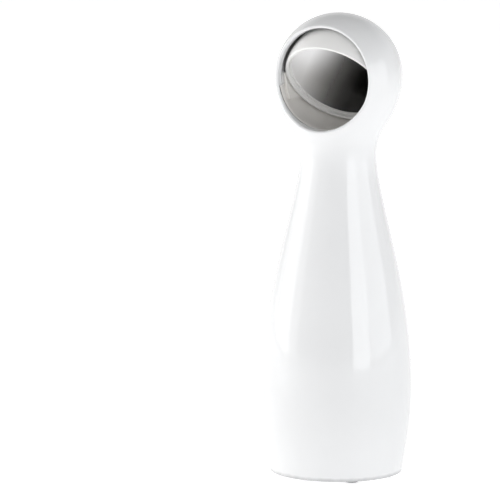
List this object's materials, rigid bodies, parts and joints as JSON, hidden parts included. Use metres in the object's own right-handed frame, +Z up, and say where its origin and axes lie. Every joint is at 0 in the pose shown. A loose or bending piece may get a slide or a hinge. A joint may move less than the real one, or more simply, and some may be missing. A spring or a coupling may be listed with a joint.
{
  "type": "automatic cat laser toy",
  "caption": "Free-standing skittle-shaped cat toy with a ball head: a hidden laser shines up onto a tilting mirror in the round opening, which throws the spot forward.",
  "frame": {"origin": "middle of the surface that the four feet stand on, on the body's axis", "axes": "+Z up along the body's axis, -Y out of the head opening, where the beam leaves, +X to the right seen from the front"},
  "size_m": [0.0742, 0.0742, 0.228],
  "materials": {
    "white_abs": "high gloss moulded ABS, soft white",
    "grey_abs": "fine spark texture, mid grey ABS",
    "black_abs": "satin black ABS",
    "rubber": "soft matt rubber",
    "mirror_glass": "front mirror",
    "smoked_window": "polished smoked window",
    "steel": "ground steel",
    "screw_steel": "zinc-plated steel",
    "nickel_strip": "nickel-plated spring steel",
    "cell_jacket": "plain printed-film jacket of a cell",
    "motor_steel": "zinc-plated motor can",
    "circuit_board": "solder mask green",
    "nylon": "natural nylon",
    "acetal": "natural acetal",
    "brass_slot": "turned brass",
    "prism_glass": "clear optical glass",
    "lead_jacket": "PVC lead jackets"
  },
  "bodies": {
    "body": {"aa_cells": "cell_jacket", "base_plate": "grey_abs", "base_screws": "screw_steel", "battery_box": "black_abs", "battery_box_screws": "screw_steel", "battery_leads": "lead_jacket", "board_components": "black_abs", "board_connectors": "nylon", "board_screws": "screw_steel", "body_shell": "white_abs", "drive_cover": "black_abs", "drive_cover_screws": "screw_steel", "drive_deck": "black_abs", "drive_deck_screws": "screw_steel", "head_front_shell": "white_abs", "head_rear_shell": "white_abs", "idler_axle": "steel", "laser_barrel": "brass_slot", "laser_clamp": "black_abs", "laser_driver_board": "circuit_board", "laser_leads": "lead_jacket", "laser_lens": "prism_glass", "laser_window": "smoked_window", "main_board": "circuit_board", "motor_can": "motor_steel", "motor_end_cap": "nylon", "motor_leads": "lead_jacket", "motor_screws": "screw_steel", "neck_screws": "screw_steel", "optics_cap": "black_abs", "optics_mid_plate": "black_abs", "optics_screws": "screw_steel", "optics_tower": "black_abs", "pivot_pins": "steel", "roof_contact_plates": "nickel_strip", "roof_springs": "nickel_strip", "rubber_feet": "rubber", "socket_bowl": "white_abs", "switch_case": "steel", "tower_screws": "screw_steel"},
    "mirror_unit": {"mirror_carrier": "white_abs", "mirror": "mirror_glass", "mirror_retainer": "grey_abs"},
    "battery_door_unit": {"battery_door": "grey_abs", "battery_door_screws": "screw_steel", "door_contact_plates": "nickel_strip", "door_springs": "nickel_strip"},
    "button_unit": {"power_button": "grey_abs", "switch_plunger": "black_abs"},
    "motor_rotor": {"motor_shaft": "steel", "motor_pinion": "brass_slot"},
    "idler": {"idler_gear": "acetal"},
    "layshaft": {"drive_shaft": "steel", "drive_shaft_gear": "acetal", "lower_pinion": "acetal", "upper_pinion": "acetal"},
    "lower_prism_ring": {"lower_prism_gear": "acetal", "lower_prism": "prism_glass"},
    "upper_prism_ring": {"upper_prism_gear": "acetal", "upper_prism": "prism_glass"}
  },
  "joints": [
    {"name": "mirror_tilt", "type": "hinge", "parent": "body", "child": "mirror_unit", "pos_m": [0, 0, 0.1968], "axis": [1, 0, 0], "range_deg": [-12, 25]},
    {"name": "battery_door_lift", "type": "slide", "parent": "body", "child": "battery_door_unit", "axis": [0, 0, -1], "range_m": [0, 0.03]},
    {"name": "power_button_press", "type": "slide", "parent": "body", "child": "button_unit", "axis": [0, -1, 0], "range_m": [0, 0.0007], "stiffness_N_per_m": 900, "springref_m": -0.0004},
    {"name": "drive_shaft_spin", "type": "hinge", "parent": "body", "child": "layshaft", "pos_m": [0, 0.012, 0.128], "axis": [0, 0, 1], "continuous": true},
    {"name": "idler_gear_spin", "type": "hinge", "parent": "body", "child": "idler", "pos_m": [-0.0065, 0.00132, 0.107], "axis": [0, 0, 1], "continuous": true},
    {"name": "motor_spin", "type": "hinge", "parent": "body", "child": "motor_rotor", "pos_m": [-0.00205, -0.01089, 0.09], "axis": [0, 0, 1], "continuous": true},
    {"name": "lower_prism_spin", "type": "hinge", "parent": "body", "child": "lower_prism_ring", "pos_m": [0, 0, 0.1415], "axis": [0, 0, 1], "continuous": true},
    {"name": "upper_prism_spin", "type": "hinge", "parent": "body", "child": "upper_prism_ring", "pos_m": [0, 0, 0.151], "axis": [0, 0, 1], "continuous": true}
  ],
  "couplings": [
    {"joint": "idler_gear_spin", "follows": "drive_shaft_spin", "ratio": -3.1667},
    {"joint": "motor_spin", "follows": "drive_shaft_spin", "ratio": 13.3},
    {"joint": "lower_prism_spin", "follows": "drive_shaft_spin", "ratio": -0.41176},
    {"joint": "upper_prism_spin", "follows": "drive_shaft_spin", "ratio": -0.33333}
  ]
}
